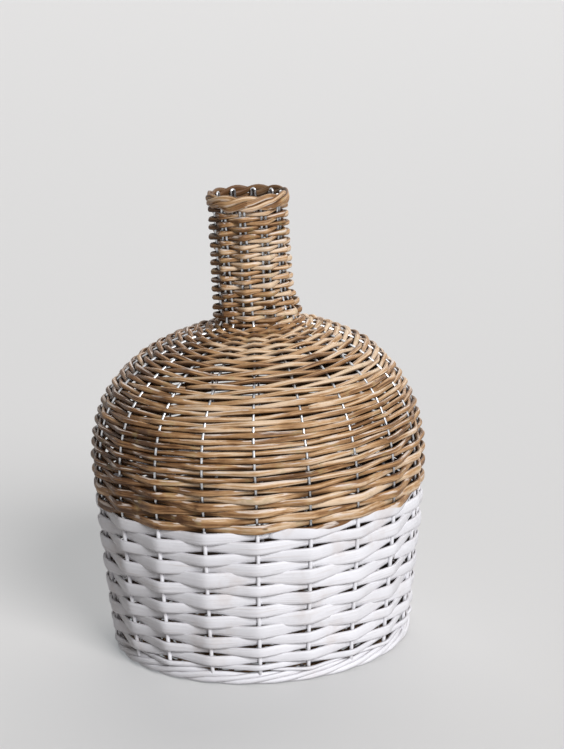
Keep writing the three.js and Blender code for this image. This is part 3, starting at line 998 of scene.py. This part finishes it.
# One leg of a wire, from its foot on the base up to the bend under the rim.
def legLine(count):
    low = basket["baseThickness"] + basket["pieceGap"] + wireRadius
    turnRadius = footBorderCentre - wireCourse["turnInside"] * basket["footBorderThickness"]
    feet = [
        (footWireRadius - basket["wireTuck"], low),
        (footWireRadius - 0.5 * basket["wireTuck"], low + basket["pieceGap"]),
        (turnRadius, wallStartHeight - wireCourse["turnBelow"]),
    ]
    radii, heights = np.vstack((feet, wall)).T
    lengths = np.concatenate(((0, 0, 0), wallLengths))
    points = around(radii[:-1], legAngle(count, lengths[:-1]), heights[:-1])
    share = np.linspace(0, 1, wireCourse["steps"] + 1)[1:-1]
    neckLengths = lengths[-2] + share * (lengths[-1] - lengths[-2])
    neckHeights = heights[-2] + share * (heights[-1] - heights[-2])
    neck = around(neckWireRadius, legAngle(count, neckLengths), neckHeights)
    bendHeight = basket["height"] - basket["wireTopBelowRim"] - wireRadius - neckPairHalf
    top = around(neckWireRadius, legAngle(count, wallEnd), np.array((wallEndHeight, bendHeight)))
    return np.vstack((points, neck, top))


def makeWire(pair):
    left, right = legLine(2 * pair), legLine(2 * pair + 1)
    middle = (left[-1] + right[-1]) / 2
    across = (right[-1] - left[-1]) / 2
    rise = np.array((0, 0, 1)) * np.linalg.norm(across)
    turn = np.linspace(0, math.pi, wireCourse["steps"] + 1)[1:-1]
    bend = [middle - across * math.cos(a) + rise * math.sin(a) for a in turn]
    path = np.vstack((left, bend, right[::-1]))
    line = basket["colourLineHeight"]
    unpainted = smoothstep(path[:, 2], line, line + wireCoat["change"])
    coat = wireCoat["paint"] + (wireCoat["zinc"] - wireCoat["paint"]) * unpainted
    node = f"stake_wire_{pair + 1}"
    piece = ringMesh(node + "_round", tubeRings(path, wireRadius + coat))
    finishPiece(piece, wireLook, node)


for pair in range(basket["wireCount"]):
    makeWire(pair)
print("wires bent")

# A border grows taller where the weave leaves room: the foot's upwards, the rim's downwards. Its other
# side, the fixed one, stays where it is or is pressed in a little.
border = {
    "foot": {
        "radius": footBorderCentre,
        "middle": footBorderMiddle,
        "across": basket["footBorderThickness"],
        "tall": basket["footBorderThickness"],
        "strandAcross": 0.23,
        "strandTall": 0.215,
        "twists": 27 / 4,
        "scallop": 1.0,
        "tone": 0.52,
        "steps": 80,
        "rise": 2.3,
        "climb": 2.4,
        "emptyFrom": 170.4,
        "fixedSide": -1,
        "pressed": 0,
        "wobble": 0.07,
        "seed": 71,
    },
    "rim": {
        "radius": rimBorderCentre,
        "middle": rimBorderMiddle,
        "across": basket["rimBorderThickness"],
        "tall": basket["rimBorderHeight"],
        "strandAcross": 0.27,
        "strandTall": 0.185,
        "twists": 11 / 4,
        "scallop": 1.55,
        "tone": 0.48,
        "steps": 60,
        "rise": 0.3,
        "climb": 3.0,
        "emptyFrom": 134.4,
        "fixedSide": 1,
        "pressed": 1.4,
        "wobble": 0.17,
        "seed": 83,
    },
}
strand = {"count": 4, "sides": 10, "wobbles": 40, "closing": 12, "toneStray": 0.25}


# Strands wound round a ring like a rope. They are one long curve that runs round several times.
def makeBorder(node, values, material):
    side, seed = values["fixedSide"], values["seed"]
    middle = values["middle"] - side * values["pressed"] / 2
    tall = values["tall"] - values["pressed"]
    strandAcross = values["across"] * values["strandAcross"]
    strandTall = tall * values["strandTall"]
    count = values["steps"] * strand["count"]
    i = np.arange(count)
    angle = 360 * i / values["steps"]
    wind = np.radians(values["twists"] * angle)
    period = count / strand["wobbles"]
    inside = np.minimum(1, np.minimum(i, count - i) / period)
    wobble = 1 + values["wobble"] * noise(i / period, seed) * inside
    r = values["radius"] + (values["across"] / 2 - strandAcross) * np.cos(wind)
    z = (tall / 2 - strandTall) * np.sign(np.sin(wind)) * np.abs(np.sin(wind)) ** values["scallop"]
    room = ((angle - values["emptyFrom"]) * -side % 180) / 180
    room = np.minimum(room, (1 - room) * strand["closing"])
    grown = 1 + (values["rise"] + values["climb"] * room) / tall
    cosine, sine = circle(strand["sides"])
    out = (strandAcross * wobble)[:, None] * cosine
    up = (strandTall * wobble)[:, None] * -sine
    fixed = side * tall / 2
    heights = (z[:, None] + up - fixed) * grown[:, None] + middle + fixed
    rings = around(r[:, None] + out, angle[:, None], heights)
    tone = values["tone"] + strand["toneStray"] * noise(i / (2 * period), seed + 1)
    piece = ringMesh(node + "_wound", rings, tone, closed=True)
    finishPiece(piece, material, node)


makeBorder("foot_border", border["foot"], white)
makeBorder("rim_border", border["rim"], plainBrown)
print("borders wound")

# The base: flat sticks from edge to edge, narrower in the middle, with split willow woven round them.
# Strays are a distance and the length over which it changes. Tones are the middle one and its stray.
base = {
    "middle": 2.05,
    "sticks": 24,
    "stickWidth": 4.5,
    "stickHalf": 0.7,
    "stickMiddle": 0.45,
    "stickTaper": 40,
    "stickFromEdge": 1,
    "stickCuts": 40,
    "stickStray": (0.12, 9),
    "stickTones": (0.5, 0.2, 30),
    "innerRadius": 16,
    "rowWidth": 4.2,
    "halfAcross": 0.47,
    "halfThickness": 0.75,
    "rise": 1.15,
    "fromEdge": 2,
    "cuts": 3,
    "rowStray": (0.3, 1.2),
    "tones": (0.45, 0.25, 3),
    "sides": 8,
    "seed": 301,
}
baseOuter = footBorderCentre - footBorderHalf - basket["pieceGap"]


def makeBaseWeaver(weaver):
    sticks, cuts, seed = base["sticks"], base["cuts"], base["seed"]
    rows = (baseOuter - base["innerRadius"]) / base["rowWidth"]
    i = np.arange(int(rows / 2 * sticks) * cuts + 1) / cuts
    radius = base["innerRadius"] + base["fromEdge"] + (i / sticks) * 2 * base["rowWidth"]
    stray, length = base["rowStray"]
    radius = np.minimum(radius, baseOuter - base["fromEdge"])
    radius = radius + stray * noise(i / length, seed + weaver)
    angle = np.radians(360 * i / sticks + 180 * weaver)
    z = base["middle"] + base["rise"] * np.cos(np.pi * (i + weaver))
    cosine, sine = circle(base["sides"])
    r = radius[:, None] + base["halfAcross"] * base["rowWidth"] * cosine
    x = r * np.sin(angle)[:, None] + basket["footOffset"]
    y = -r * np.cos(angle)[:, None]
    zs = z[:, None] - base["halfThickness"] * sine
    tone, stray, length = base["tones"]
    tone = tone + stray * noise(i / length, seed + 5 + weaver)
    piece = ringMesh(f"base_weaver_{weaver + 1}", np.stack((x, y, zs), axis=-1), tone)
    finishPiece(piece, plainBrown, None if weaver else "woven_base")


def makeBaseStick(k):
    angle = 2 * math.pi * k / base["sticks"]
    along = np.array((math.sin(angle), -math.cos(angle), 0))
    beside = np.array((-along[1], along[0], 0))
    half = baseOuter - base["stickFromEdge"]
    s = np.linspace(-half, half, base["stickCuts"])
    stray, length = base["stickStray"]
    middle = along * s[:, None] + (basket["footOffset"], 0, base["middle"])
    middle[:, 2] += stray * noise(s / length, base["seed"] + 40 + k)
    narrow = base["stickMiddle"]
    wide = narrow + (1 - narrow) * np.minimum(1, np.abs(s) / base["stickTaper"])
    cosine, sine = circle(base["sides"])
    across = base["stickWidth"] / 2 * wide[:, None] * cosine
    up = np.array((0, 0, base["stickHalf"])) * sine[:, None]
    rings = middle[:, None, :] + beside * across[..., None] + up
    tone, stray, length = base["stickTones"]
    piece = ringMesh(f"base_stick_{k + 1}", rings, tone + stray * noise(s / length, 60 + k))
    finishPiece(piece, plainBrown)


for weaver in (0, 1):
    makeBaseWeaver(weaver)
for k in range(base["sticks"] // 2):
    makeBaseStick(k)
print("base woven")

# A pale floor that keeps the basket's shadow, soft light from the right and a little from behind. The
# floor glows and the sky is bright only to the camera and in reflections.
studio = {
    "floorReach": 14,
    "floorColour": (0.41, 0.395, 0.383),
    "floorGlow": (0.248, 0.26, 0.269),
    "floorRoughness": 0.75,
    "sky": (0.93, 0.93, 0.93),
    "ambient": 0.045,
    "ambientColour": (1.0, 0.93, 0.88),
    "sunDistance": 2,
    "window": {"strength": 3.4, "colour": (0.985, 0.983, 1), "azimuth": 30, "height": 33, "softness": 26},
    "back": {"strength": 1.3, "colour": (1, 0.98, 0.96), "azimuth": 165, "height": 38, "softness": 60},
}


def cameraRays(tree):
    rays = put(tree, "ShaderNodeLightPath").outputs
    seen = calc(tree, "MAXIMUM", rays["Is Camera Ray"], rays["Is Glossy Ray"])
    return calc(tree, "MAXIMUM", seen, rays["Is Transmission Ray"])


def makeSun(name, values):
    lamp = bpy.data.lights.new(name, "SUN")
    lamp.energy = values["strength"]
    lamp.color = values["colour"]
    lamp.angle = math.radians(values["softness"])
    sun = addObject(name, lamp)
    azimuth, height = [math.radians(values[key]) for key in ("azimuth", "height")]
    level = math.cos(height)
    towards = Vector((math.sin(azimuth) * level, -math.cos(azimuth) * level, math.sin(height)))
    sun.rotation_euler = towards.to_track_quat("Z", "Y").to_euler()
    sun.location = towards * studio["sunDistance"]


def makeFloor():
    mesh = bpy.data.meshes.new("floor")
    reach = studio["floorReach"]
    corners = [(-reach, -reach, 0), (reach, -reach, 0), (reach, reach, 0), (-reach, reach, 0)]
    mesh.from_pydata(corners, [], [(0, 1, 2, 3)])
    floor = addObject("floor", mesh)
    material, tree = newMaterial("pale floor", studio["floorColour"])
    sockets = {
        "Base Color": opaque(studio["floorColour"]),
        "Roughness": studio["floorRoughness"],
        "Emission Color": opaque(studio["floorGlow"]),
        "Emission Strength": cameraRays(tree),
    }
    endMaterial(tree, sockets)
    mesh.materials.append(material)


def makeSky():
    world = bpy.data.worlds.new("studio")
    world.use_nodes = True
    tree = world.node_tree
    tree.nodes.clear()
    seen = cameraRays(tree)
    strength = scaled(tree, seen, 1 - studio["ambient"], studio["ambient"])
    colour = mixColour(tree, seen, opaque(studio["ambientColour"]), opaque(studio["sky"]))
    sky = put(tree, "ShaderNodeBackground", {"Color": colour, "Strength": strength})
    put(tree, "ShaderNodeOutputWorld", {0: sky.outputs[0]})
    bpy.context.scene.world = world


makeFloor()
makeSun("window light", studio["window"])
makeSun("back light", studio["back"])
makeSky()
bpy.context.scene.view_settings.view_transform = "Standard"
print("studio lit")
